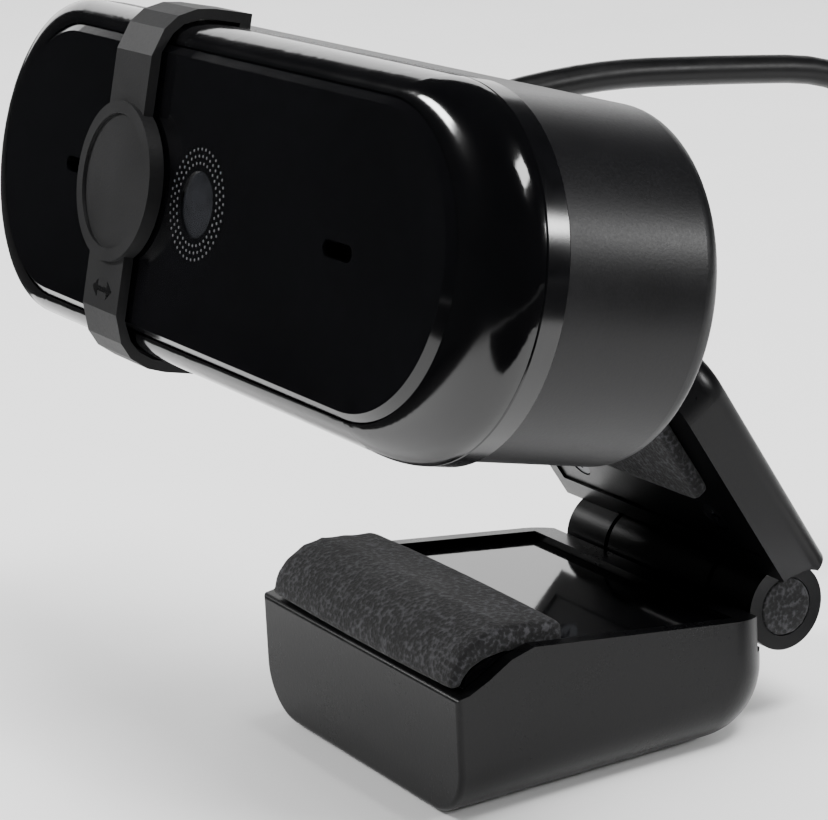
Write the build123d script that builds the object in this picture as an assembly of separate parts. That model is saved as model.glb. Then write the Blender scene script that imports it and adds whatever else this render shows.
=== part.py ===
from build123d import *
import math
import os

os.makedirs("parts", exist_ok=True)

# A clip-on webcam, in millimetres. The row origin is the mouth of the tripod socket in the
# underside of the clip's foot. X runs along the camera head, -Y is the way the lens looks and
# +Z is up. The head, the arm and the foot are each drawn square in their own axes.

# ---- driving dimensions: camera head ----
head_length = 108.0
head_height = 35.0
head_depth = 25.0
head_tilt = 13.3
head_y = -33.5
head_z = 63.7
plate_length = 93.6
plate_height = 29.6
plate_thickness = 2.2
plate_bevel = 0.8
plate_gap = 0.1
rim_setback = 0.7
bezel_depth = 5.05
bezel_ledge = 2.0
trim_depth = 2.7
housing_inset = 0.6
housing_wall = 1.8
housing_edge_radius = 2.2
seam = 0.25

# ---- driving dimensions: optics and electronics ----
window_radius = 3.35
window_thickness = 1.2
slot_length = 5.3
slot_height = 1.6
slot_offset = 27.9
board_length = 66.0
board_height = 16.6
board_thickness = 1.2
board_front = 13.0
barrel_radius = 4.2
holder_width = 9.6
screw_radius = 0.95
screw_head_radius = 1.9
screw_head_height = 0.9
screw_gap = 0.15

# ---- driving dimensions: privacy cover ----
cover_offset = -15.2
cover_radius = 8.3
cover_strap = 8.0
cover_thickness = 1.1
cover_gap = 0.35

# ---- driving dimensions: clip ----
clip_width = 41.2
clip_wall = 1.6
hinge_y = 25.7
hinge_z = 13.0
hinge_radius = 4.9
hinge_pin_radius = 1.5
pin_clearance = 0.05
knuckle_half = 9.3
knuckle_outer = 17.5
washer_thickness = 0.6
foot_front = 18.4
foot_rear = 22.7
foot_front_height = 13.8
foot_crest_height = 17.4
foot_crest_y = -9.0
foot_floor = 3.6
foot_heel_radius = 8.0
foot_edge_radius = 6.0
foot_front_radius = 0.6
lid_thickness = 1.4
lid_recess = 0.9
lid_roll_start = -11.5
pad_thickness = 2.8
pad_rear = -4.4
arm_angle = 31.5
arm_length = 43.0
arm_shoulder = 36.0
arm_thickness = 6.5
arm_edge_radius = 2.8
arm_pad_start = 16.5
arm_pad_end = 33.0
arm_pad_thickness = 1.6

# ---- driving dimensions: tilt and pan joints ----
tilt_height = 2.7
tilt_radius = 3.4
tilt_pin_radius = 1.25
tilt_knuckle_half = 5.4
ear_thickness = 3.4
pan_y = 31.0
pan_radius = 4.0
pan_height = 9.0
pan_pin_radius = 1.5
lug_thickness = 3.0

# ---- driving dimensions: tripod socket and cable ----
insert_bore = 2.55
insert_radius = 4.0
insert_length = 7.0
cable_radius = 1.6
relief_length = 10.3
relief_radius = 3.0
relief_exit_z = 10.6
relief_pitch = 20.0
plug_length = 20.0
plug_width = 15.6
plug_height = 8.0
shell_length = 12.0
shell_width = 12.0
shell_height = 4.5
shell_wall = 0.35

HEAD = Location((0, head_y, head_z), (-head_tilt, 0, 0))
ARM = Location((0, hinge_y, hinge_z), (arm_angle, 0, 0))


def box(x0, x1, y0, y1, z0, z1):
    """Box between two corners."""
    centre = ((x0 + x1) / 2, (y0 + y1) / 2, (z0 + z1) / 2)
    return Pos(*centre) * Box(x1 - x0, y1 - y0, z1 - z0)


def rod_x(radius, x0, x1, y=0.0, z=0.0):
    """Cylinder along X."""
    return Pos((x0 + x1) / 2, y, z) * Rot(0, 90, 0) * Cylinder(radius, x1 - x0)


def rod_y(radius, y0, y1, x=0.0, z=0.0):
    """Cylinder along Y."""
    return Pos(x, (y0 + y1) / 2, z) * Rot(90, 0, 0) * Cylinder(radius, y1 - y0)


def rod_z(radius, z0, z1, x=0.0, y=0.0):
    """Cylinder along Z."""
    return Pos(x, y, (z0 + z1) / 2) * Cylinder(radius, z1 - z0)


def stadium(length, height, y0, y1):
    """Round-ended slab facing Y."""
    return Pos(0, y0, 0) * Rot(-90, 0, 0) * extrude(SlotOverall(length, height), y1 - y0)


def side_profile(points, x0, x1):
    """Solid with a closed outline in the YZ plane, from X = x0 to X = x1."""
    face = make_face(Polyline(*[(x0, y, z) for y, z in points], close=True))
    return extrude(face, amount=x1 - x0, dir=(1, 0, 0))


def save(name, shape, place=Location()):
    """Write one sub-part in the row frame."""
    export_step(shape.moved(place), f"parts/{name}.step")


# Tilt axis at the arm's tip, first in the row frame and then in the head's own axes.
arm_lean = math.radians(arm_angle)
tilt_row_y = hinge_y - arm_length * math.sin(arm_lean) + tilt_height * math.cos(arm_lean)
tilt_row_z = hinge_z + arm_length * math.cos(arm_lean) + tilt_height * math.sin(arm_lean)
lean = math.radians(head_tilt)
tilt_y = (tilt_row_y - head_y) * math.cos(lean) - (tilt_row_z - head_z) * math.sin(lean)
tilt_z = (tilt_row_y - head_y) * math.sin(lean) + (tilt_row_z - head_z) * math.cos(lean)

# ================= camera head, drawn with the front plate at Y = 0 =================

bezel_back = bezel_depth
trim_back = bezel_back + trim_depth
wall_inner = head_depth - housing_wall
housing_length = head_length - 2 * housing_inset
housing_height = head_height - 2 * housing_inset
inner_length = housing_length - 2 * housing_wall
inner_height = housing_height - 2 * housing_wall
screw_spots = [(-43.4, 0.0), (43.4, 0.0), (-19.0, 11.6), (19.0, 11.6)]
boss_radius = 2.5

# Front plate: bevelled smoked panel with a round lens window and two microphone slots.
plate = stadium(plate_length, plate_height, 0, plate_thickness)
plate = chamfer(plate.edges().group_by(Axis.Y)[0], plate_bevel)
plate -= rod_y(window_radius, -1, plate_thickness + 1)
for side in (-1, 1):
    plate -= Pos(side * slot_offset, 0, 0) * stadium(slot_length, slot_height, -1, plate_thickness + 1)
save("front_plate", plate, HEAD)
save("lens_window", rod_y(window_radius, 0.25, 0.25 + window_thickness), HEAD)

# Bezel: lofted ring that rolls from the plate's rim out to the head's full outline.
rim_length = plate_length + 2 * plate_gap
rim_height = plate_height + 2 * plate_gap
roll_steps = 5
sections = []
for step in range(roll_steps + 1):
    turn = math.radians(90) * step / roll_steps
    length = rim_length + (head_length - rim_length) * math.sin(turn)
    height = rim_height + (head_height - rim_height) * math.sin(turn)
    depth = rim_setback + (bezel_back - rim_setback) * (1 - math.cos(turn))
    sections.append(Pos(0, depth, 0) * Rot(-90, 0, 0) * SlotOverall(length, height))
bezel = loft(sections)
bezel -= stadium(rim_length, rim_height, -1, plate_thickness)
ledge_length = plate_length - 2 * bezel_ledge
ledge_height = plate_height - 2 * bezel_ledge
bezel -= stadium(ledge_length, ledge_height, 0, bezel_back + 1)
for x, z in screw_spots:
    bezel += rod_y(boss_radius, plate_thickness, wall_inner, x, z)
for x, z in screw_spots:
    bezel -= rod_y(screw_radius, wall_inner - 9, wall_inner + 1, x, z)
save("bezel", bezel, HEAD)

# Trim ring: gloss band between the bezel and the housing, with a fine seam at each edge.
trim = stadium(head_length, head_height, bezel_back, trim_back)
trim = chamfer(trim.edges(), seam)
trim -= stadium(inner_length, inner_height, bezel_back - 1, trim_back + 1)
save("trim_ring", trim, HEAD)

# Rear housing: moulded tub with two lugs that carry the pan pin, and four screw recesses.
pan_bottom = tilt_z - pan_height / 2
pan_top = tilt_z + pan_height / 2
lug_gap = 0.3
housing = stadium(housing_length, housing_height, trim_back, head_depth)
housing = fillet(housing.edges().group_by(Axis.Y)[-1], housing_edge_radius)
housing -= stadium(inner_length, inner_height, trim_back - 1, wall_inner)
lower_lug = (pan_bottom - lug_gap - lug_thickness, pan_bottom - lug_gap)
upper_lug = (pan_top + lug_gap, pan_top + lug_gap + lug_thickness)
lug_levels = [lower_lug, upper_lug]
for low, high in lug_levels:
    lug = box(-pan_radius, pan_radius, wall_inner + 0.5, pan_y, low, high)
    lug += rod_z(pan_radius, low, high, 0, pan_y)
    housing += lug
housing -= rod_z(pan_pin_radius, lug_levels[0][0] - 1, lug_levels[1][1] + 1, 0, pan_y)
for x, z in screw_spots:
    housing -= rod_y(screw_head_radius + screw_gap, head_depth - 1.0, head_depth + 1, x, z)
    housing -= rod_y(screw_radius + screw_gap, trim_back, head_depth + 1, x, z)
RELIEF = Location((0, head_depth - 1.0, relief_exit_z), (relief_pitch, 0, 0))
housing -= rod_y(relief_radius, -3.5, 4, 0, 0).moved(RELIEF)
save("rear_housing", housing, HEAD)


def screw(radius, head_radius, head_height, length):
    """Cross-head screw pointing along -Y with the underside of its head at Y = 0."""
    body = rod_y(radius, -length, 0) + rod_y(head_radius, 0, head_height)
    for width, height in ((1.8, 0.45), (0.45, 1.8)):
        body -= box(-width / 2, width / 2, head_height - 0.5, head_height + 1, -height / 2, height / 2)
    return body


housing_screw = screw(screw_radius, screw_head_radius, screw_head_height, 7.5)
for number, (x, z) in enumerate(screw_spots, 1):
    save(f"housing_screw_{number}", housing_screw.moved(Location((x, head_depth - 1.0, z))), HEAD)

pan_pin = rod_z(pan_pin_radius, lug_levels[0][0] - 0.4, lug_levels[1][1], 0, pan_y)
pan_pin += rod_z(pan_pin_radius + 0.9, lug_levels[1][1], lug_levels[1][1] + 1.0, 0, pan_y)
save("pan_pin", pan_pin, HEAD)

# Circuit board on two standoffs of the housing's inside, with the camera module in front.
board_back = board_front + board_thickness
half_board = board_length / 2
board = box(-half_board, half_board, board_front, board_back, -board_height / 2, board_height / 2)
board = fillet(board.edges().filter_by(Axis.Y), 1.5)
standoff_x = board_length / 2 - 12
for side in (-1, 1):
    board -= rod_y(1.1, board_front - 1, board_back + 1, side * standoff_x, 0)
save("main_board", board, HEAD)
for side, name in ((-1, "left"), (1, "right")):
    standoff = rod_y(2.4, board_back, wall_inner, side * standoff_x, 0)
    standoff -= rod_y(0.8, board_back - 1, wall_inner - 2, side * standoff_x, 0)
    save(f"board_standoff_{name}", standoff, HEAD)
    board_screw_length = min(5.0, wall_inner - 2.2 - board_front)
    board_screw = screw(0.8, 1.7, 0.9, board_screw_length).rotate(Axis.Z, 180)
    save(f"board_screw_{name}", board_screw.moved(Location((side * standoff_x, board_front, 0))), HEAD)

sensor_depth = 0.9
sensor_front = board_front - sensor_depth
holder_front = 7.0
half = holder_width / 2
save("image_sensor", box(-2.9, 2.9, sensor_front, board_front, -2.6, 2.6), HEAD)
holder = box(-half, half, holder_front, board_front, -half, half)
holder = fillet(holder.edges().filter_by(Axis.Y), 1.0)
holder -= rod_y(3.3, holder_front - 1, sensor_front - 1.5)
holder -= box(-3.4, 3.4, sensor_front - 1.5, board_front + 1, -3.4, 3.4)
save("lens_holder", holder, HEAD)
save("ir_filter", box(-3.2, 3.2, sensor_front - 1.5, sensor_front - 0.9, -3.2, 3.2), HEAD)
barrel_front = 2.3
barrel = rod_y(barrel_radius, barrel_front, holder_front) + rod_y(3.2, holder_front, holder_front + 3)
barrel -= rod_y(2.0, barrel_front - 1, holder_front + 4)
barrel -= rod_y(2.9, barrel_front - 1, barrel_front + 1.2)
save("lens_barrel", barrel, HEAD)
lens = rod_y(2.9, barrel_front + 0.5, barrel_front + 1.2)
lens += rod_y(2.0, barrel_front + 1.2, barrel_front + 2.2)
save("lens_element", lens, HEAD)

# Microphones behind the slots, each on the board side of a soft gasket.
for side, name in ((-1, "left"), (1, "right")):
    x = side * slot_offset
    gasket = box(x - 3.6, x + 3.6, plate_thickness, board_front - 1.1, -2.0, 2.0)
    gasket -= box(x - 2.4, x + 2.4, plate_thickness - 1, board_front, -0.8, 0.8)
    save(f"mic_gasket_{name}", gasket, HEAD)
    save(f"microphone_{name}", box(x - 1.9, x + 1.9, board_front - 1.1, board_front, -1.5, 1.5), HEAD)
save("board_connector", box(6.0, 13.0, board_back, board_back + 3.2, -7.5, -3.5), HEAD)

# Privacy cover: strap that hugs the head's section, with a round shutter over the lens line.
half_height = head_height / 2
gap = cover_gap
reach = cover_gap + cover_thickness


def roll_point(offset, turn):
    """Point of the bezel's rolled section at the top of the head, pushed outwards."""
    z = rim_height / 2 + (half_height - rim_height / 2) * math.sin(turn)
    y = rim_setback + (bezel_back - rim_setback) * (1 - math.cos(turn))
    return (y - offset * math.cos(turn), z + offset * math.sin(turn))


turns = [math.radians(a) for a in (20, 45, 70, 90)]
front_inner = -gap
front_outer = -reach
lip_start = trim_back + 0.3
lip_end = lip_start + 1.3
lip_inner = housing_height / 2 + 0.3
upper_outer = [roll_point(reach, t) for t in turns]
upper_inner = [roll_point(gap, t) for t in turns]
upper = [(front_outer, 0), (front_outer, rim_height / 2 - 1.5)] + upper_outer
upper += [(lip_end, half_height + reach), (lip_end, lip_inner), (lip_start, lip_inner)]
upper += [(lip_start, half_height + gap)] + upper_inner[::-1]
upper += [(front_inner, rim_height / 2 - 1.0), (front_inner, 0)]
strap_half = side_profile(upper, -cover_strap / 2, cover_strap / 2)
cover = strap_half + mirror(strap_half, Plane.XY)
cover += rod_y(cover_radius, front_outer - 0.5, front_inner)
cover -= rod_y(cover_radius - 1.3, front_outer - 1.5, front_outer - 0.15)
save("privacy_cover", cover.moved(Location((cover_offset, 0, 0))), HEAD)
liner = rod_y(cover_radius - 2.2, front_inner, front_inner + 0.2)
save("cover_liner", liner.moved(Location((cover_offset, 0, 0))), HEAD)

# ================= clip foot, drawn in the row frame =================

half_clip = clip_width / 2
inner_half = half_clip - clip_wall
lid_half = inner_half - 0.1
top_rear_y = hinge_y - hinge_radius - 0.5
top_slope = (foot_crest_height - hinge_z) / (hinge_y - foot_crest_y)


def top_line(y):
    """Height of the foot's flat upper edge, which points at the hinge axis."""
    return hinge_z + top_slope * (hinge_y - y)


def top_outline(drop, front, rear):
    """Upper edge from the rear to the front: flat, then rolled down over the front."""
    shoulder = foot_crest_y + 1.5
    points = [(rear, top_line(rear) - drop), (shoulder, top_line(shoulder) - drop)]
    fall = top_line(foot_crest_y) - foot_front_height
    run = foot_crest_y + front
    for share in (0.0, 0.3, 0.6, 0.85, 1.0):
        y = foot_crest_y - run * share
        points.append((y, top_line(foot_crest_y) - drop - fall * (1 - math.cos(share * math.pi)) / 2))
    return points


cavity_front = foot_front - clip_wall
cavity_rear = top_rear_y - 3.0
foot_outline = top_outline(0, foot_front, top_rear_y)
foot_outline += [(-foot_front, 0), (foot_rear, 0), (foot_rear, hinge_z - 3.5), (top_rear_y, hinge_z - 3.5)]
foot = side_profile(foot_outline, -half_clip, half_clip)
heel = foot.edges().filter_by(Axis.X).group_by(Axis.Z)[0].sort_by(Axis.Y)[-1]
foot = fillet(heel, foot_heel_radius)
sole = foot.faces().sort_by(Axis.Z)[0]
foot = fillet(sole.edges().filter_by(Axis.Y), foot_edge_radius)
front_wall = foot.faces().sort_by(Axis.Y)[0]
foot = fillet(front_wall.edges(), foot_front_radius)
foot -= box(-inner_half, inner_half, -cavity_front, cavity_rear, foot_floor, foot_crest_height + 1)

# Barrel seat, centre knuckle and the web that carries it.
foot -= rod_x(hinge_radius + 0.5, -half_clip - 1, half_clip + 1, hinge_y, hinge_z)
foot += rod_x(hinge_radius, -knuckle_half, knuckle_half, hinge_y, hinge_z)
foot += box(-knuckle_half, knuckle_half, top_rear_y - 1.5, hinge_y, hinge_z - hinge_radius, hinge_z - 0.2)
foot -= rod_x(hinge_pin_radius, -half_clip, half_clip, hinge_y, hinge_z)

# Tripod boss in the middle of the floor, and two screw bosses beside it.
lid_screw_x = inner_half - 5.0
lid_screw_y = 6.0
boss_split = 7.0
screw_sink = 1.7
foot += rod_z(insert_radius + 2.0, foot_floor - 1, insert_length + 1.2)
foot -= rod_z(insert_radius, -1, insert_length)
for side in (-1, 1):
    foot += rod_z(2.6, foot_floor - 1, boss_split, side * lid_screw_x, lid_screw_y)
    foot -= rod_z(screw_radius + screw_gap, -1, boss_split + 1, side * lid_screw_x, lid_screw_y)
    foot -= rod_z(screw_head_radius + screw_gap, -1, screw_sink, side * lid_screw_x, lid_screw_y)
save("foot_shell", foot)

insert = rod_z(insert_radius, 0, insert_length) - rod_z(insert_bore, -1, insert_length - 1)
insert -= rod_z(insert_bore - 0.25, 0, insert_length - 0.4)
save("tripod_insert", insert)

# Gloss lid let in between the side walls, on two hollow posts. Its front rolls down.


def rolled(rear, drop, front_y, front_z):
    """Upper edge from rear to front: parallel to the foot's edge, then a quarter ellipse."""
    crown = top_line(lid_roll_start) - drop
    points = [(rear, top_line(rear) - drop)]
    for turn in (0, 22, 45, 67, 90):
        angle = math.radians(turn)
        y = lid_roll_start - (lid_roll_start - front_y) * math.sin(angle)
        points.append((y, front_z + (crown - front_z) * math.cos(angle)))
    return points


lid_front_y = -(cavity_front - 0.1)
lid_front_z = foot_front_height + 0.4
lid_rear = cavity_rear - 0.1
lid_upper = rolled(lid_rear, lid_recess, lid_front_y, lid_front_z)
lid_lower = rolled(lid_rear, lid_recess + lid_thickness, lid_front_y, lid_front_z - lid_thickness)
lid = side_profile(lid_upper + lid_lower[::-1], -lid_half, lid_half)
post_top = top_line(lid_screw_y) - lid_recess - 0.5
for side in (-1, 1):
    lid += rod_z(2.4, boss_split, post_top, side * lid_screw_x, lid_screw_y)
    lid -= rod_z(screw_radius, boss_split - 1, post_top - 1.2, side * lid_screw_x, lid_screw_y)
save("foot_lid", lid)
lid_screw = screw(screw_radius, screw_head_radius, screw_head_height, 9.5).rotate(Axis.X, -90)
for side, name in ((-1, "left"), (1, "right")):
    save(f"foot_screw_{name}", lid_screw.moved(Location((side * lid_screw_x, lid_screw_y, screw_sink))))

# Foam pad glued over the rolled front of the lid.
pad_upper = rolled(pad_rear, lid_recess - pad_thickness, -(foot_front - 0.2), lid_front_z)
pad_lower = rolled(pad_rear, lid_recess, lid_front_y, lid_front_z)
pad = side_profile(pad_upper + pad_lower[::-1], 0.2 - inner_half, inner_half - 0.2)
save("foot_pad", pad)

# Steel pin through all five knuckles, and a friction washer at each end of the centre one.
pin_half = knuckle_outer - 1.0
save("hinge_pin", rod_x(hinge_pin_radius, -pin_half, pin_half, hinge_y, hinge_z))
for side, name in ((-1, "left"), (1, "right")):
    near = side * knuckle_half
    far = side * (knuckle_half + washer_thickness)
    washer = rod_x(3.6, min(near, far), max(near, far), hinge_y, hinge_z)
    washer -= rod_x(hinge_pin_radius, -half_clip, half_clip, hinge_y, hinge_z)
    save(f"hinge_washer_{name}", washer)

# ================= clip arm, drawn upright with the hinge axis at its origin =================

arm_start = 2.8
arm_roof = 1.8
pocket_start = 8.0
corner = 8.0
fit = 0.1
arm = box(-half_clip, half_clip, 0, arm_thickness, arm_start, arm_shoulder)
arm = fillet(arm.edges().filter_by(Axis.Y).group_by(Axis.Z)[-1], corner)
outer_face = arm.faces().sort_by(Axis.Y)[-1]
arm = fillet(outer_face.edges().sort_by(Axis.Z)[1:], arm_edge_radius)
pocket_half = half_clip - arm_roof
pocket_end = arm_shoulder - arm_roof


def pocket_slab(inset, n0, n1):
    """Slab with the outline of the arm's pocket, drawn in by inset."""
    slab = box(inset - pocket_half, pocket_half - inset, n0, n1, pocket_start + inset, pocket_end - inset)
    return fillet(slab.edges().filter_by(Axis.Y).group_by(Axis.Z)[-1], corner - arm_roof - inset)


arm -= pocket_slab(0, -1, arm_thickness - arm_roof)
knuckle_inner = knuckle_half + washer_thickness + 0.1
for side in (-1, 1):
    x0, x1 = sorted((side * knuckle_inner, side * knuckle_outer))
    arm += rod_x(hinge_radius, x0, x1)
    x0, x1 = sorted((side * knuckle_outer, side * (half_clip + 1)))
    arm -= rod_x(hinge_radius + 0.05, x0, x1)
    arm -= rod_x(3.3, *sorted((side * (knuckle_outer - 0.8), side * (knuckle_outer + 1))))
arm -= rod_x(hinge_radius + 0.4, -knuckle_inner, knuckle_inner)
arm -= rod_x(hinge_pin_radius + pin_clearance, -pin_half - 0.1, pin_half + 0.1)

# Ears at the tip that hold the tilt pin.
ear_inner = tilt_knuckle_half + 0.5
for side in (-1, 1):
    x0, x1 = sorted((side * ear_inner, side * (ear_inner + ear_thickness)))
    ear_half = tilt_radius - 0.7
    arm += box(x0, x1, tilt_height - ear_half, tilt_height + ear_half, arm_shoulder - 1, arm_length)
    arm += rod_x(tilt_radius, x0, x1, tilt_height, arm_length)
arm -= rod_x(tilt_pin_radius, -half_clip, half_clip, tilt_height, arm_length)

# Two posts inside the pocket take the screws of the inner plate.
arm_screw_x = 13.0
arm_screw_s = 12.0
plate_front = 0.3
plate_back = 1.5
for side in (-1, 1):
    arm += rod_y(2.4, plate_back, arm_thickness - 1, side * arm_screw_x, arm_screw_s)
    arm -= rod_y(0.8, plate_back - 1, arm_thickness - 0.9, side * arm_screw_x, arm_screw_s)
save("arm_shell", arm, ARM)

inner_plate = pocket_slab(fit, plate_front, plate_back)
for side in (-1, 1):
    inner_plate -= rod_y(0.95, plate_front - 1, plate_back + 1, side * arm_screw_x, arm_screw_s)
    inner_plate -= rod_y(1.9, plate_front - 1, plate_front + 0.6, side * arm_screw_x, arm_screw_s)
save("arm_inner_plate", inner_plate, ARM)
arm_screw = screw(0.8, 1.75, 0.5, 3.6).rotate(Axis.Z, 180)
for side, name in ((-1, "left"), (1, "right")):
    screw_place = Location((side * arm_screw_x, plate_front + 0.6, arm_screw_s))
    save(f"arm_screw_{name}", arm_screw.moved(screw_place), ARM)
    disc = rod_x(3.2, *sorted((side * (knuckle_outer - 0.8), side * (knuckle_outer + 0.1))))
    save(f"hinge_disc_{name}", disc, ARM)

arm_pad_half = inner_half - 3.0
arm_pad = box(
    -arm_pad_half, arm_pad_half, plate_front - arm_pad_thickness, plate_front, arm_pad_start, arm_pad_end
)
arm_pad = fillet(arm_pad.edges().filter_by(Axis.Y), 2.0)
save("arm_pad", arm_pad, ARM)

tilt_pin_half = ear_inner + ear_thickness
tilt_pin = rod_x(tilt_pin_radius, -tilt_pin_half, tilt_pin_half, tilt_height, arm_length)
for side in (-1, 1):
    x0, x1 = sorted((side * tilt_pin_half, side * (tilt_pin_half + 0.8)))
    tilt_pin += rod_x(tilt_pin_radius + 0.9, x0, x1, tilt_height, arm_length)
save("tilt_pin", tilt_pin, ARM)

# ================= neck, drawn in the head's axes =================

neck = rod_z(pan_radius, pan_bottom, pan_top, 0, pan_y)
neck += box(-pan_radius + 0.4, pan_radius - 0.4, pan_y, tilt_y, tilt_z - tilt_radius, tilt_z + tilt_radius)
neck += rod_x(tilt_radius, -tilt_knuckle_half, tilt_knuckle_half, tilt_y, tilt_z)
neck -= rod_x(tilt_pin_radius + pin_clearance, -half_clip, half_clip, tilt_y, tilt_z)
neck -= rod_z(pan_pin_radius + pin_clearance, pan_bottom - 1, pan_top + 1, 0, pan_y)
save("neck", neck, HEAD)
for side, name in ((-1, "left"), (1, "right")):
    x0, x1 = sorted((side * tilt_knuckle_half, side * (tilt_knuckle_half + 0.4)))
    washer = rod_x(2.8, x0, x1, tilt_y, tilt_z)
    washer -= rod_x(tilt_pin_radius + pin_clearance, -half_clip, half_clip, tilt_y, tilt_z)
    save(f"tilt_washer_{name}", washer, HEAD)

# ================= cable =================

# Tapered strain relief, set in the housing's rear wall and aimed a little upwards.
relief_taper = Cone(relief_radius, cable_radius + 0.5, relief_length)
relief = Rot(-90, 0, 0) * Pos(0, 0, relief_length / 2) * relief_taper
relief = relief + rod_y(relief_radius, -1.2, 0)
for groove in range(3):
    start = 3.0 + 2.4 * groove
    groove_floor = rod_y(relief_radius - 0.6 - 0.3 * groove, start, start + 0.8)
    relief -= rod_y(relief_radius + 1, start, start + 0.8) - groove_floor
save("strain_relief", relief.moved(RELIEF), HEAD)

# The cable runs straight back from the head, falls behind it to the table and goes into a coil.
exit_place = HEAD * RELIEF * Location((0, relief_length, 0))
exit_point = exit_place.position
pitch = math.radians(relief_pitch - head_tilt)
lead = 10.0
start = (0, exit_point.Y, exit_point.Z)
second = (0, exit_point.Y + lead * math.cos(pitch), exit_point.Z + lead * math.sin(pitch))
floor_z = cable_radius + 0.1
fall = [(0, 31.0, 69.2), (0, 50.0, 67.0), (0, 64.0, 54.0), (0, 70.0, 36.0)]
fall += [(0, 75.5, 18.0), (0, 86.0, 5.0), (0, 100.0, floor_z)]
coil_y = 115.0
route = [start, second] + fall + [(0, coil_y, floor_z - 0.05)]


def cord(points, radius):
    """Round cord along straight runs joined by tangent arcs."""
    radii = []
    for before, here, after in zip(points, points[1:], points[2:]):
        run_in = Vector(*here) - Vector(*before)
        run_out = Vector(*after) - Vector(*here)
        half_turn = math.radians(run_in.get_angle(run_out)) / 2
        radii.append(0.45 * min(run_in.length, run_out.length) / math.tan(half_turn))
    path = FilletPolyline(*points, radius=radii)
    section = Plane(origin=path @ 0, z_dir=path % 0) * Circle(radius)
    solid = sweep(section, path=path)
    print("cord length", round(path.length, 1), "radii", [round(r, 1) for r in radii])
    print("volume ratio", round(solid.volume / (math.pi * radius**2 * path.length), 4))
    return solid


save("usb_cable", cord(route, cable_radius))

# Coil of the spare length: twelve turns, three side by side and four high.
pitch_gap = 2 * cable_radius
coil_radius = 18.0
coil_x = coil_radius + pitch_gap
coil_inner = coil_radius - 1.5 * pitch_gap
coil_outer = coil_radius + 1.5 * pitch_gap
coil_height = 4 * pitch_gap
coil = rod_z(coil_outer, 0, coil_height, coil_x, coil_y)
coil -= rod_z(coil_inner, -1, coil_height + 1, coil_x, coil_y)
save("usb_cable_coil", coil)
print("coiled length", round(4 * 3 * 2 * math.pi * coil_radius, 1))

# Hook-and-loop tie round the coil's far side.
tie_width = 7.0
tie_inner = coil_y + coil_inner - 0.6
tie_outer = coil_y + coil_outer + 0.1
tie_x = coil_x - tie_width / 2
tie = box(tie_x, tie_x + tie_width, tie_inner - 1.0, tie_outer + 1.0, 0, coil_height + 0.8)
tie -= box(coil_x - tie_width, coil_x + tie_width, tie_inner, tie_outer, -1, coil_height + 0.1)
save("cable_tie", tie)

# Tail from the coil's top turn down to the plug on the table.
tail_x = coil_x + coil_radius + pitch_gap
plug_z = plug_height / 2
tail_end_y = coil_y - 34.0
tail = [(tail_x, coil_y, coil_height - cable_radius), (tail_x, coil_y - 12.0, 10.0)]
tail += [(tail_x, coil_y - 24.0, 4.6), (tail_x, tail_end_y, plug_z)]
save("usb_cable_tail", cord(tail, cable_radius))
plug_relief = Pos(tail_x, tail_end_y - 5.05, plug_z) * Rot(-90, 0, 0) * Cone(3.2, cable_radius + 0.5, 10.0)
save("plug_relief", plug_relief)
plug_front = tail_end_y - 10.05 - plug_length
plug_side = plug_width / 2
plug = box(tail_x - plug_side, tail_x + plug_side, plug_front, plug_front + plug_length, 0, plug_height)
plug = fillet(plug.edges().filter_by(Axis.Z), 2.0)
plug = fillet(plug.faces().sort_by(Axis.Z)[-1].edges(), 0.9)
for groove in range(4):
    y = plug_front + 5.0 + 2.2 * groove
    for side in (-1, 1):
        x = tail_x + side * plug_side
        plug -= box(x - 0.5, x + 0.5, y, y + 0.9, -1, plug_height + 1)
save("usb_plug_body", plug)
shell_tip = plug_front - shell_length
half_w = shell_width / 2
half_h = shell_height / 2
shell = box(tail_x - half_w, tail_x + half_w, shell_tip, plug_front, plug_z - half_h, plug_z + half_h)
shell = fillet(shell.edges().filter_by(Axis.Y), 0.5)
inner_w = shell_width / 2 - shell_wall
inner_h = shell_height / 2 - shell_wall
mouth_end = plug_front - 1.0
shell -= box(tail_x - inner_w, tail_x + inner_w, shell_tip - 1, mouth_end, plug_z - inner_h, plug_z + inner_h)
for side in (-1, 1):
    x = tail_x + side * 2.9
    shell -= box(x - 1.1, x + 1.1, plug_front - 7.0, plug_front - 4.6, plug_z + 1, plug_z + shell_height)
save("usb_plug_shell", shell)
tongue_w = inner_w - 0.1
tongue_z = plug_z - inner_h
tongue = box(tail_x - tongue_w, tail_x + tongue_w, shell_tip + 1.0, plug_front - 1.0, tongue_z, tongue_z + 1.8)
save("usb_plug_tongue", tongue)
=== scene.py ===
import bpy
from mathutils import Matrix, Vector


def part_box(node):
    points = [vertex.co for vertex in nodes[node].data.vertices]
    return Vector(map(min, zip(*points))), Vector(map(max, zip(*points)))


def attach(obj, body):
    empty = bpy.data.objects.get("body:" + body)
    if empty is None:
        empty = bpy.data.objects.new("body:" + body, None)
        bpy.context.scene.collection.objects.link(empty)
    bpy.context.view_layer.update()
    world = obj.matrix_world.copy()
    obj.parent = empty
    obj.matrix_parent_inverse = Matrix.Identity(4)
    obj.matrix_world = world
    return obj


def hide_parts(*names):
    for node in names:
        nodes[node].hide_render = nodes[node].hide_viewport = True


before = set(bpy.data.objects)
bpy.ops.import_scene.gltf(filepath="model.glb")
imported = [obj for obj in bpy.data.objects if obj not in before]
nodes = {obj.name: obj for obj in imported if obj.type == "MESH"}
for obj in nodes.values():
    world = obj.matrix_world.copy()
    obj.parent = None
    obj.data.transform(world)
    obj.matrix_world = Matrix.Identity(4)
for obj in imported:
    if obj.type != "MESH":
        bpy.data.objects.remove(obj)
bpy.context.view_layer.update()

import math

import bpy
import bmesh
from mathutils import Matrix, Vector, noise

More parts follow.
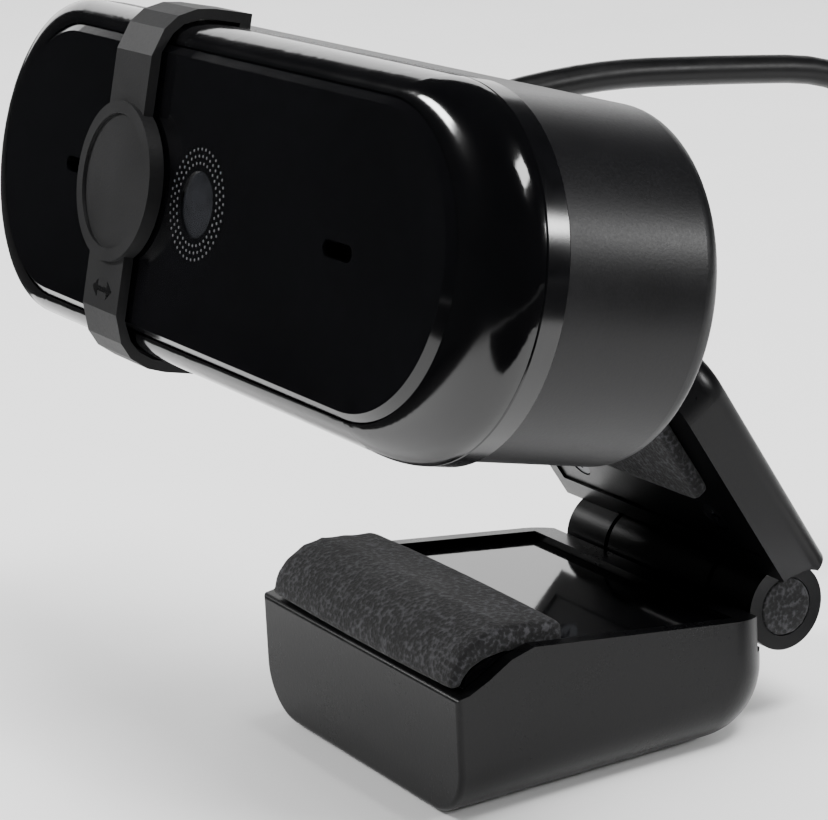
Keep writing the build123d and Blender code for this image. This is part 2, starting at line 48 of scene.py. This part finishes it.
# ---- Camera -----------------------------------------------------------------------------
# Product camera, low and to the right of the webcam, looking back along the head with a
# long lens so that the round end of the head is nearest.
camera_data = bpy.data.cameras.new("product_camera")
camera_data.sensor_width = 36.0
camera_data.lens = 125.1
camera_data.clip_start = 0.01
camera_data.clip_end = 20.0
camera = bpy.data.objects.new("product_camera", camera_data)
bpy.context.collection.objects.link(camera)
right, up, back = (0.51992, 0.85294, -0.04665), (-0.20988, 0.18049, 0.96092), (0.82803, -0.48981, 0.27286)
camera_turn = Matrix((right, up, back)).transposed().to_4x4()
camera.matrix_world = Matrix.Translation((0.25111, -0.15822, 0.12083)) @ camera_turn
bpy.context.scene.camera = camera

# ---- Cable ------------------------------------------------------------------------------
# Round USB cable, four cores in a matt black PVC jacket 3.2 mm thick. It leaves the back of
# the head, falls behind it and is wound into a neat coil with its plug beside it.
def hex_colour(text):
    """An sRGB hex value as the linear colour a node takes."""
    channels = [int(text[i : i + 2], 16) / 255 for i in (1, 3, 5)]
    linear = [c / 12.92 if c <= 0.04045 else ((c + 0.055) / 1.055) ** 2.4 for c in channels]
    return (*linear, 1.0)


def add(tree, kind, values=None, links=None, **settings):
    """Adds one node, with its settings, its socket values and the sockets that feed it."""
    made = tree.nodes.new(kind)
    for key, value in settings.items():
        setattr(made, key, value)
    for key, value in (values or {}).items():
        made.inputs[key].default_value = value
    for key, socket in (links or {}).items():
        tree.links.new(socket, made.inputs[key])
    return made


def new_finish(name):
    """An empty material with its shader, and the place on the piece in metres."""
    material = bpy.data.materials.new(name)
    material.use_nodes = True
    tree = material.node_tree
    shader = tree.nodes["Principled BSDF"]
    place = add(tree, "ShaderNodeTexCoord").outputs["Object"]
    return material, tree, shader, place


def per_mm(size):
    """Texture scale that repeats about every so many millimetres."""
    return 1000.0 / size


def moulded(name, low, high, rough, grain, depth, ior=1.5, patch=9.0, sheen=0.0, shine=0.5):
    """Moulded plastic or rubber: a slow shift of tone, and a fine grain from the tool."""
    material, tree, shader, place = new_finish(name)
    broad = add(tree, "ShaderNodeTexNoise", {"Scale": per_mm(patch), "Detail": 3.0,
        "Roughness": 0.55}, {"Vector": place})
    fine = add(tree, "ShaderNodeTexNoise", {"Scale": per_mm(grain), "Detail": 4.0,
        "Roughness": 0.6}, {"Vector": place})
    tone = add(tree, "ShaderNodeMath", {1: 0.5}, {0: broad.outputs["Fac"]}, operation="MULTIPLY")
    tone = add(tree, "ShaderNodeMath", {1: 0.5}, {0: fine.outputs["Fac"], 2: tone.outputs[0]},
        operation="MULTIPLY_ADD")
    ramp = add(tree, "ShaderNodeValToRGB", None, {"Fac": tone.outputs[0]})
    ramp.color_ramp.elements[0].position = 0.35
    ramp.color_ramp.elements[1].position = 0.65
    ramp.color_ramp.elements[0].color = hex_colour(low)
    ramp.color_ramp.elements[1].color = hex_colour(high)
    spread = {"From Min": 0.3, "From Max": 0.7, "To Min": rough[0], "To Max": rough[1]}
    gloss = add(tree, "ShaderNodeMapRange", spread, {"Value": tone.outputs[0]})
    relief = add(tree, "ShaderNodeBump", {"Strength": 1.0, "Distance": depth / 1000.0},
        {"Height": fine.outputs["Fac"]})
    tree.links.new(ramp.outputs["Color"], shader.inputs["Base Color"])
    tree.links.new(gloss.outputs["Result"], shader.inputs["Roughness"])
    tree.links.new(relief.outputs["Normal"], shader.inputs["Normal"])
    shader.inputs["IOR"].default_value = ior
    shader.inputs["Specular IOR Level"].default_value = shine
    if sheen:
        shader.inputs["Sheen Weight"].default_value = sheen
        shader.inputs["Sheen Roughness"].default_value = 0.4
    return material


def dress(material, *names):
    """Gives CAD pieces a finish."""
    for name in names:
        for held in nodes[name].material_slots:
            held.material = material


# PVC jacket: satin, with the faint lengthways waviness that the extruder leaves.
pvc_jacket = moulded("extruded_pvc_black", "#060607", "#0d0d0e", (0.36, 0.48), 0.5, 0.01, 1.5,
    patch=6.0, shine=0.25)

route = [(0.0, 2.524, 69.696), (0.0, 12.456, 70.863), (0.0, 31.0, 69.2), (0.0, 50.0, 67.0), (0.0,
    64.0, 54.0)]
route += [(0.0, 70.0, 36.0), (0.0, 75.5, 18.0), (0.0, 86.0, 5.0), (0.0, 100.0, 1.7)]

# The coil: eleven and a half turns, three abreast and four high, wound inwards then outwards.
turn_radii = [21.2, 18.0, 14.8]
points_per_turn = 16
pull_in = (1 + math.cos(math.pi / points_per_turn)) / 2
turns = []
for layer in range(4):
    for radius in turn_radii if layer % 2 == 0 else turn_radii[::-1]:
        turns.append((radius, 1.6 + 3.2 * layer))
turn_span = 345.0
step_width = 30.0
for count in range(1, 185):
    angle = count * 4140.0 / 184
    held = min(11, int(angle / turn_span))
    radius, height = turns[held]
    if held < 11:
        share = max(0.0, 1 - ((held + 1) * turn_span - angle) / step_width)
        radius += (turns[held + 1][0] - radius) * share
        height += (turns[held + 1][1] - height) * share
    swing = math.radians(angle)
    reach = radius / pull_in
    route.append((21.2 - reach * math.cos(swing), 115.0 + reach * math.sin(swing), height))
route += [(42.4, 103.0, 10.0), (42.4, 91.0, 4.6), (42.4, 81.0, 4.0)]

cable_line = bpy.data.curves.new("cable", "CURVE")
cable_line.dimensions = "3D"
spline = cable_line.splines.new("NURBS")
spline.points.add(len(route) - 1)
for point, (x, y, z) in zip(spline.points, route):
    point.co = (x / 1000, y / 1000, z / 1000, 1.0)
spline.order_u = 3
spline.use_endpoint_u = True
spline.resolution_u = 6
cable_line.bevel_depth = 0.0016
cable_line.bevel_resolution = 5
cable_line.use_fill_caps = True
cable_line.materials.append(pvc_jacket)
cable = bpy.data.objects.new("cable", cable_line)
bpy.context.collection.objects.link(cable)
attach(cable, "head")
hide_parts("usb_cable", "usb_cable_coil", "usb_cable_tail")

# ---- Cable tie --------------------------------------------------------------------------
# Hook-and-loop strap, a woven nylon tape with a looped face, closed over the far side of
# the coil. The tape is one millimetre thick with soft edges.
def face_up(made):
    """Shades a mesh smooth and turns its faces outwards."""
    shape = bmesh.new()
    shape.from_mesh(made)
    bmesh.ops.recalc_face_normals(shape, faces=shape.faces)
    shape.to_mesh(made)
    shape.free()
    for polygon in made.polygons:
        polygon.use_smooth = True


def new_piece(name, points, faces, material, body):
    """A mesh piece in metres, from points in millimetres."""
    made = bpy.data.meshes.new(name)
    made.from_pydata([[value / 1000 for value in point] for point in points], [], faces)
    face_up(made)
    made.materials.append(material)
    piece = bpy.data.objects.new(name, made)
    bpy.context.collection.objects.link(piece)
    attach(piece, body)
    return piece


tie_low, tie_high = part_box("cable_tie")
tie_y0, tie_y1, tie_top = tie_low.y * 1000 + 0.5, tie_high.y * 1000 - 0.5, tie_high.z * 1000 - 0.5
tie_line = [(tie_y0, 0.3), (tie_y0, tie_top - 2.2)]
for turn in (30, 60, 90):
    swing = math.radians(turn)
    tie_line.append((tie_y0 + 2.2 - 2.2 * math.cos(swing), tie_top - 2.2 + 2.2 * math.sin(swing)))
for turn in (0, 30, 60, 90):
    swing = math.radians(turn)
    tie_line.append((tie_y1 - 2.2 + 2.2 * math.sin(swing), tie_top - 2.2 + 2.2 * math.cos(swing)))
tie_line += [(tie_y1, 6.0), (tie_y1, 0.3)]
section = [(-3.5, -0.2), (-3.3, -0.45), (3.3, -0.45), (3.5, -0.2), (3.5, 0.2), (3.3, 0.45), (-3.3,
    0.45), (-3.5, 0.2)]
tie_x = (tie_low.x + tie_high.x) * 500
tie_points, tie_faces = [], []
for index, (y, z) in enumerate(tie_line):
    before = tie_line[max(0, index - 1)]
    after = tie_line[min(len(tie_line) - 1, index + 1)]
    run = Vector((after[0] - before[0], after[1] - before[1])).normalized()
    for across, out in section:
        tie_points.append((tie_x + across, y - run.y * out, z + run.x * out))
for index in range(len(tie_line) - 1):
    for k in range(8):
        a, b = index * 8 + k, index * 8 + (k + 1) % 8
        tie_faces.append((a, b, b + 8, a + 8))
tie_faces += [tuple(range(8)), tuple(range(len(tie_points) - 8, len(tie_points)))]

# Looped nylon: the loops are about 0.3 mm apart and catch the light as a soft fuzz.
looped_nylon, tree, shader, place = new_finish("looped_nylon_black")
loops = add(tree, "ShaderNodeTexVoronoi", {"Scale": per_mm(0.45)}, {"Vector": place})
ramp = add(tree, "ShaderNodeValToRGB", None, {"Fac": loops.outputs["Distance"]})
ramp.color_ramp.elements[0].color = hex_colour("#1c1c1e")
ramp.color_ramp.elements[1].color = hex_colour("#0b0b0c")
relief = add(tree, "ShaderNodeBump", {"Strength": 0.8, "Distance": 0.0001},
    {"Height": loops.outputs["Distance"]}, invert=True)
tree.links.new(ramp.outputs["Color"], shader.inputs["Base Color"])
tree.links.new(relief.outputs["Normal"], shader.inputs["Normal"])
shader.inputs["Roughness"].default_value = 0.9
shader.inputs["Sheen Weight"].default_value = 0.3
coil_tie = new_piece("coil_tie", tie_points, tie_faces, looped_nylon, "head")
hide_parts("cable_tie")

# ---- USB plug ---------------------------------------------------------------------------
# Full-size plug: PVC grip with side ribs and a moulded strain relief, and a folded
# tinplate shell with two latch windows round a plastic tongue.
plug_pvc = moulded("moulded_pvc_black", "#0c0c0d", "#18181a", (0.45, 0.58), 0.3, 0.02)
dress(plug_pvc, "plug_relief", "usb_plug_body")
tongue_pbt = moulded("moulded_pbt_white", "#b9b9b4", "#d0d0cb", (0.4, 0.55), 0.4, 0.01)
dress(tongue_pbt, "usb_plug_tongue")


def bright_metal(name, low, high, rough, line, stretch):
    """Plated or machined metal with fine lines that run one way."""
    material, tree, shader, place = new_finish(name)
    along = add(tree, "ShaderNodeMapping", {"Scale": stretch}, {"Vector": place})
    lines = add(tree, "ShaderNodeTexNoise", {"Scale": per_mm(line), "Detail": 3.0},
        {"Vector": along.outputs["Vector"]})
    ramp = add(tree, "ShaderNodeValToRGB", None, {"Fac": lines.outputs["Fac"]})
    ramp.color_ramp.elements[0].position = 0.3
    ramp.color_ramp.elements[1].position = 0.7
    ramp.color_ramp.elements[0].color = hex_colour(low)
    ramp.color_ramp.elements[1].color = hex_colour(high)
    spread = {"From Min": 0.3, "From Max": 0.7, "To Min": rough[0], "To Max": rough[1]}
    gloss = add(tree, "ShaderNodeMapRange", spread, {"Value": lines.outputs["Fac"]})
    relief = add(tree, "ShaderNodeBump", {"Strength": 0.5, "Distance": 0.00001},
        {"Height": lines.outputs["Fac"]})
    tree.links.new(ramp.outputs["Color"], shader.inputs["Base Color"])
    tree.links.new(gloss.outputs["Result"], shader.inputs["Roughness"])
    tree.links.new(relief.outputs["Normal"], shader.inputs["Normal"])
    shader.inputs["Metallic"].default_value = 1.0
    return material


# Tin over steel: bright, a little cloudy, with rolling lines along the plug.
tinplate = bright_metal("rolled_tinplate", "#b4b5b8", "#d2d3d5", (0.22, 0.34), 0.3, (1.0, 0.15, 1.0))
dress(tinplate, "usb_plug_shell")

# ---- Table, backdrop and lights ---------------------------------------------------------
# Pale matt table, white surroundings for the eye, and painted dark reflection in the gloss parts: the
# world shows only dim grey to glossy rays, and two dark cards lie on the table, unseen by the camera
# and casting no shadow, so that they show only in the gloss parts and keep them black, standing in
# for the cards a studio sets round black goods.
pale_table, tree, shader, place = new_finish("matt_white_table")
mottle = add(tree, "ShaderNodeTexNoise", {"Scale": per_mm(40.0), "Detail": 2.0}, {"Vector": place})
ramp = add(tree, "ShaderNodeValToRGB", None, {"Fac": mottle.outputs["Fac"]})
ramp.color_ramp.elements[0].color = hex_colour("#f2f2f2")
ramp.color_ramp.elements[1].color = hex_colour("#f8f8f8")
tree.links.new(ramp.outputs["Color"], shader.inputs["Base Color"])
shader.inputs["Roughness"].default_value = 0.9


def stage_card(name, corners, material):
    """A flat card of the studio, from its corners in metres."""
    made = bpy.data.meshes.new(name)
    made.from_pydata(corners, [], [tuple(range(len(corners)))])
    made.materials.append(material)
    card = bpy.data.objects.new(name, made)
    bpy.context.collection.objects.link(card)
    return card


table = stage_card("table", [(-2, -2, -0.0003), (2, -2, -0.0003), (2, 2, -0.0003), (-2, 2,
    -0.0003)], pale_table)
painted_reflection_black, tree, shader, place = new_finish("painted_reflection_black")
shader.inputs["Base Color"].default_value = hex_colour("#050505")
shader.inputs["Roughness"].default_value = 1.0
card_outline = [(0.11, -1.0), (1.2, -1.0), (1.2, 1.0), (0.19, 1.0), (0.19, -0.02), (0.11, -0.09)]
# Dark cards seen only in reflections: painted dark reflection on the gloss parts, not a real card.
near_reflection_shade_card = stage_card("dark_card", [(x, y, 0.0002) for x, y in card_outline], painted_reflection_black)
far_outline = [(-2.0, -2.0), (-0.17, -2.0), (-0.17, 2.0), (-2.0, 2.0)]
far_reflection_shade_card = stage_card("far_dark_card", [(x, y, 0.0002) for x, y in far_outline], painted_reflection_black)
for card in (near_reflection_shade_card, far_reflection_shade_card):
    card.visible_camera = False
    card.visible_diffuse = False
    card.visible_shadow = False

world = bpy.data.worlds.new("studio")
bpy.context.scene.world = world
world.use_nodes = True
tree = world.node_tree
tree.nodes.clear()
seen = add(tree, "ShaderNodeBackground", {"Color": hex_colour("#ffffff"), "Strength": 3.0})
# Glossy rays see this dim grey world instead of the white the camera sees: a painted dark reflection of the
# surroundings.
painted_reflection_grey = add(tree, "ShaderNodeBackground", {"Color": hex_colour("#8f9193"), "Strength": 0.12})
room_light = add(tree, "ShaderNodeBackground", {"Color": hex_colour("#ffffff"), "Strength": 0.45})
rays = add(tree, "ShaderNodeLightPath")
unseen = add(tree, "ShaderNodeMixShader", None, {0: rays.outputs["Is Glossy Ray"],
    1: room_light.outputs[0], 2: painted_reflection_grey.outputs[0]})
mixed = add(tree, "ShaderNodeMixShader", None, {0: rays.outputs["Is Camera Ray"],
    1: unseen.outputs[0], 2: seen.outputs[0]})
add(tree, "ShaderNodeOutputWorld", None, {"Surface": mixed.outputs[0]})


def softbox(name, spot, target, width, height, power):
    """A rectangular soft light that faces a point."""
    light = bpy.data.lights.new(name, "AREA")
    light.shape = "RECTANGLE"
    light.size = width
    light.size_y = height
    light.energy = power
    lamp = bpy.data.objects.new(name, light)
    bpy.context.collection.objects.link(lamp)
    lamp.location = spot
    lamp.rotation_mode = "QUATERNION"
    lamp.rotation_quaternion = (Vector(target) - Vector(spot)).to_track_quat("-Z", "Y")
    return lamp


softbox("key_lamp", (-0.63, -0.57, 0.57), (0.04, -0.03, 0.07), 0.22, 0.16, 8.0)
softbox("top_lamp", (0.46, 0.05, 0.99), (0.05, -0.03, 0.07), 0.42, 0.26, 9.0)
softbox("side_lamp", (0.69, 0.65, 0.44), (0.05, -0.03, 0.07), 0.26, 0.1, 4.5)
softbox("sweep_softbox", (-1.25, 0.75, 0.42), (0.0, 0.0, 0.05), 1.7, 0.75, 9.0)
fill = softbox("overhead_fill", (0.05, 0.15, 1.2), (0.0, 0.0, 0.0), 1.0, 1.0, 15.0)
fill.visible_glossy = False

# ---- Foot of the clip -------------------------------------------------------------------
# Moulded ABS tray, 41 mm wide, with rolled side edges and a fine satin grain. It is the
# lower jaw of the clip and, folded open, the stand's foot.
satin_abs = moulded("moulded_abs_satin_black", "#040405", "#09090a", (0.25, 0.34), 0.35, 0.012, 1.5,
    shine=0.22)
dress(satin_abs, "foot_shell")

# ---- Foot lid ---------------------------------------------------------------------------
# Glossy ABS panel let in between the side walls of the foot and held by two posts. It is
# polished in the tool, so that it mirrors the arm and the table.
gloss_abs = moulded("polished_abs_black", "#040405", "#060607", (0.05, 0.085), 3.0, 0.003, 1.53)
dress(gloss_abs, "foot_lid")

# ---- Foam pads --------------------------------------------------------------------------
# Open-cell polyurethane foam, die-cut and glued on: one pad rolls over the front of the
# foot, one lies on the arm, and small discs close the ends of the hinge.
foam, tree, shader, place = new_finish("open_cell_foam_black")
cells = add(tree, "ShaderNodeTexVoronoi", {"Scale": per_mm(0.55), "Randomness": 1.0}, {"Vector": place})
fuzz = add(tree, "ShaderNodeTexNoise", {"Scale": per_mm(0.35), "Detail": 5.0, "Roughness": 0.7},
    {"Vector": place})
clumps = add(tree, "ShaderNodeTexNoise", {"Scale": per_mm(3.5), "Detail": 3.0, "Roughness": 0.6},
    {"Vector": place})
mixed_tone = add(tree, "ShaderNodeMath", {1: 0.45}, {0: cells.outputs["Distance"]}, operation="MULTIPLY")
mixed_tone = add(tree, "ShaderNodeMath", {1: 0.75}, {0: fuzz.outputs["Fac"],
    2: mixed_tone.outputs[0]}, operation="MULTIPLY_ADD")
mixed_tone = add(tree, "ShaderNodeMath", {1: 0.25}, {0: clumps.outputs["Fac"],
    2: mixed_tone.outputs[0]}, operation="MULTIPLY_ADD")
ramp = add(tree, "ShaderNodeValToRGB", None, {"Fac": mixed_tone.outputs[0]})
ramp.color_ramp.elements[0].position = 0.5
ramp.color_ramp.elements[1].position = 0.92
ramp.color_ramp.elements[0].color = hex_colour("#060607")
ramp.color_ramp.elements[1].color = hex_colour("#38383b")
strand = ramp.color_ramp.elements.new(0.72)
strand.color = hex_colour("#0e0e0f")
relief = add(tree, "ShaderNodeBump", {"Strength": 1.0, "Distance": 0.00012},
    {"Height": mixed_tone.outputs[0]})
tree.links.new(ramp.outputs["Color"], shader.inputs["Base Color"])
tree.links.new(relief.outputs["Normal"], shader.inputs["Normal"])
shader.inputs["Roughness"].default_value = 0.95
shader.inputs["Sheen Weight"].default_value = 0.05


def foam_pad(name, node, voxel, rounds, swell, body):
    """A pad cut from foam: the glued shape with soft edges, a slight crown and open cells."""
    rough_cut = nodes[node].data.copy()
    pad = bpy.data.objects.new(name, rough_cut)
    bpy.context.collection.objects.link(pad)
    cells_cut = pad.modifiers.new("cells", "REMESH")
    cells_cut.mode = "VOXEL"
    cells_cut.voxel_size = voxel / 1000
    worn = pad.modifiers.new("worn", "SMOOTH")
    worn.factor = 0.5
    worn.iterations = rounds
    seen_at = bpy.context.evaluated_depsgraph_get()
    shaped = bpy.data.meshes.new_from_object(pad.evaluated_get(seen_at))
    pad.modifiers.clear()
    pad.data = shaped
    low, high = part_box(node)
    middle, half = (low + high) / 2, (high - low) / 2
    for vertex in shaped.vertices:
        away = vertex.co - middle
        edge = max(0.0, 1 - (away.x / half.x) ** 2)
        cell = noise.noise(vertex.co * per_mm(0.9))
        vertex.co += vertex.normal * (swell * edge + 0.02 * cell) / 1000
    for polygon in shaped.polygons:
        polygon.use_smooth = True
    shaped.materials.clear()
    shaped.materials.append(foam)
    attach(pad, body)
    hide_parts(node)
    return pad


foam_pad("foot_foam", "foot_pad", 0.4, 14, 0.25, "foot")
foam_pad("arm_foam", "arm_pad", 0.35, 6, 0.12, "arm")
foam_pad("hinge_foam_left", "hinge_disc_left", 0.2, 4, 0.05, "arm")
foam_pad("hinge_foam_right", "hinge_disc_right", 0.2, 4, 0.05, "arm")

# ---- Hinge pin, washers and screws ------------------------------------------------------
# Drawn steel pin through the knuckles, nylon friction washers, and zinc-plated cross-head
# screws that close the foot, the arm and the back of the head.
drawn_steel = bright_metal("drawn_steel", "#8c8d90", "#a9abad", (0.2, 0.32), 0.2, (0.1, 1.0, 1.0))
dress(drawn_steel, "hinge_pin", "tilt_pin", "pan_pin")
zinc_plate = bright_metal("black_zinc_plate", "#3a3b3e", "#55575b", (0.3, 0.42), 0.25, (1.0, 1.0, 1.0))
dress(zinc_plate, "foot_screw_left", "foot_screw_right", "arm_screw_left", "arm_screw_right")
dress(zinc_plate, "housing_screw_1", "housing_screw_2", "housing_screw_3", "housing_screw_4")
dress(zinc_plate, "board_screw_left", "board_screw_right")
natural_nylon = moulded("moulded_nylon_natural", "#a5a399", "#bdbbb0", (0.4, 0.55), 0.5, 0.01)
dress(natural_nylon, "hinge_washer_left", "hinge_washer_right", "tilt_washer_left", "tilt_washer_right")

# ---- Tripod insert ----------------------------------------------------------------------
# Turned brass bush with a quarter-inch camera thread, pressed into the underside of the
# foot.
turned_brass = bright_metal("turned_brass", "#b8924e", "#d0ab68", (0.22, 0.36), 0.25, (1.0, 1.0, 0.1))
dress(turned_brass, "tripod_insert")

# ---- Arm --------------------------------------------------------------------------------
# Moulded ABS shell with rolled edges and an inner cover plate held by two screws, in the
# same satin grain as the foot. It folds on the hinge and carries the head.
arm_abs = moulded("moulded_abs_satin_arm", "#040405", "#09090a", (0.27, 0.36), 0.35, 0.012, 1.5, shine=0.22)
dress(arm_abs, "arm_shell", "arm_inner_plate")

# ---- Neck -------------------------------------------------------------------------------
# Small knuckle of glass-filled nylon between the arm and the head: it tilts on one pin and
# turns on the other.
filled_nylon = moulded("glass_filled_nylon_black", "#070708", "#101012", (0.42, 0.55), 0.3, 0.02, shine=0.3)
dress(filled_nylon, "neck")

# ---- Front plate ------------------------------------------------------------------------
# Smoked acrylic window over the whole face, cut with a fine bevel and hard coated. It
# looks nearly black, with a soft gloss.
smoked_acrylic = moulded("smoked_acrylic", "#050506", "#08080a", (0.1, 0.15), 2.0, 0.002, 1.49, patch=25.0)
dress(smoked_acrylic, "front_plate")

# ---- Bezel and trim ring ----------------------------------------------------------------
# Piano-black ABS bezel that swells round the plate, and a narrow polished band behind it
# where the two halves of the head meet.
piano_black = moulded("piano_black_abs", "#030304", "#050506", (0.09, 0.13), 4.0, 0.002, 1.53)
dress(piano_black, "bezel")
trim_black = moulded("trim_black_abs", "#050506", "#08080a", (0.14, 0.2), 2.0, 0.004, 1.53)
dress(trim_black, "trim_ring")

# ---- Rear housing -----------------------------------------------------------------------
# Moulded ABS shell with a spark-eroded texture, fine enough to feel dry: it spreads a lamp
# into one soft band.
spark_abs = moulded("spark_textured_abs", "#070708", "#101012", (0.34, 0.44), 0.28, 0.01, 1.5,
    patch=14.0, shine=0.28)
dress(spark_abs, "rear_housing")

# ---- Lens and its printed ring ----------------------------------------------------------
# Clear window over the lens, let into the plate, with three rings of small grey dots
# printed round it.
HEAD_PLACE = Matrix.Translation((0.0, -0.0335, 0.0637)) @ Matrix.Rotation(math.radians(-13.3), 4, "X")
clear_glass = moulded("coated_lens_window", "#161719", "#26272a", (0.05, 0.09), 2.5, 0.001, 1.52, patch=5.0)
dress(clear_glass, "lens_window", "lens_element")

grey_ink = moulded("printed_grey_ink", "#37373a", "#4a4a4d", (0.45, 0.6), 0.2, 0.003)
dot_points, dot_faces = [], []
for ring, (radius, count) in enumerate(((4.1, 34), (4.8, 38), (5.5, 42))):
    for index in range(count):
        around = 2 * math.pi * (index + 0.5 * (ring % 2)) / count
        x, z = radius * math.cos(around), radius * math.sin(around)
        first = len(dot_points)
        for y in (0.0, -0.02):
            for k in range(8):
                turn = k * math.pi / 4
                spot = HEAD_PLACE @ Vector(((x + 0.15 * math.cos(turn)) / 1000, y / 1000,
                    (z + 0.15 * math.sin(turn)) / 1000))
                dot_points.append(tuple(spot * 1000))
        dot_faces.append(tuple(range(first, first + 8)))
        dot_faces.append(tuple(range(first + 8, first + 16)))
        for k in range(8):
            dot_faces.append((first + k, first + (k + 1) % 8, first + 8 + (k + 1) % 8, first + 8 + k))
new_piece("printed_dots", dot_points, dot_faces, grey_ink, "head")

# ---- Camera module and board ------------------------------------------------------------
# Inside the sealed head: an epoxy board with a green solder mask, its sensor chip, the
# lens in its threaded holder, two microphones in rubber boots and the cable's connector.
solder_mask = moulded("green_solder_mask", "#0d3a22", "#14482c", (0.25, 0.38), 0.8, 0.01)
dress(solder_mask, "main_board")
chip_epoxy = moulded("moulded_chip_epoxy", "#111113", "#1b1b1e", (0.5, 0.65), 0.2, 0.01)
dress(chip_epoxy, "image_sensor", "microphone_left", "microphone_right")
dress(filled_nylon, "lens_holder", "lens_barrel", "board_standoff_left", "board_standoff_right")
dress(natural_nylon, "board_connector")
blue_filter = moulded("coated_filter_glass", "#4a1f2c", "#5a2a3a", (0.05, 0.1), 2.0, 0.001, 1.52)
dress(blue_filter, "ir_filter")
soft_silicone = moulded("moulded_silicone_black", "#0d0d0e", "#18181a", (0.6, 0.75), 0.3, 0.02, 1.43)
dress(soft_silicone, "mic_gasket_left", "mic_gasket_right")
dress(plug_pvc, "strain_relief")

# ---- Privacy cover ----------------------------------------------------------------------
# Moulded polypropylene strap that hugs the head and slides along it, with a dished round
# shutter and a felt liner. A double arrow, moulded in relief, says which way it moves.
matt_pp = moulded("moulded_pp_matt_black", "#0c0c0d", "#151516", (0.48, 0.6), 0.3, 0.015, 1.49, shine=0.3)
dress(matt_pp, "privacy_cover")
black_felt = moulded("pressed_felt_black", "#0c0c0d", "#1e1e20", (0.9, 1.0), 0.25, 0.06, sheen=0.4)
dress(black_felt, "cover_liner")

arrow_outline = [(-2.2, 0.0), (-1.1, 0.9), (-1.1, 0.25), (1.1, 0.25), (1.1, 0.9), (2.2, 0.0)]
arrow_outline += [(1.1, -0.9), (1.1, -0.25), (-1.1, -0.25), (-1.1, -0.9)]
arrow_points = []
for y in (-1.4, -1.49):
    for x, z in arrow_outline:
        spot = HEAD_PLACE @ Vector(((x - 15.2) / 1000, y / 1000, (z - 11.3) / 1000))
        arrow_points.append(tuple(spot * 1000))
ends = len(arrow_outline)
arrow_faces = [tuple(range(ends)), tuple(range(ends, 2 * ends))]
arrow_faces += [(k, (k + 1) % ends, ends + (k + 1) % ends, ends + k) for k in range(ends)]
arrow_ink = moulded("arrow_gloss_black", "#040405", "#070708", (0.25, 0.35), 0.3, 0.002)
arrows = new_piece("shutter_arrows", arrow_points, arrow_faces, arrow_ink, "cover")
for polygon in arrows.data.polygons:
    polygon.use_smooth = False
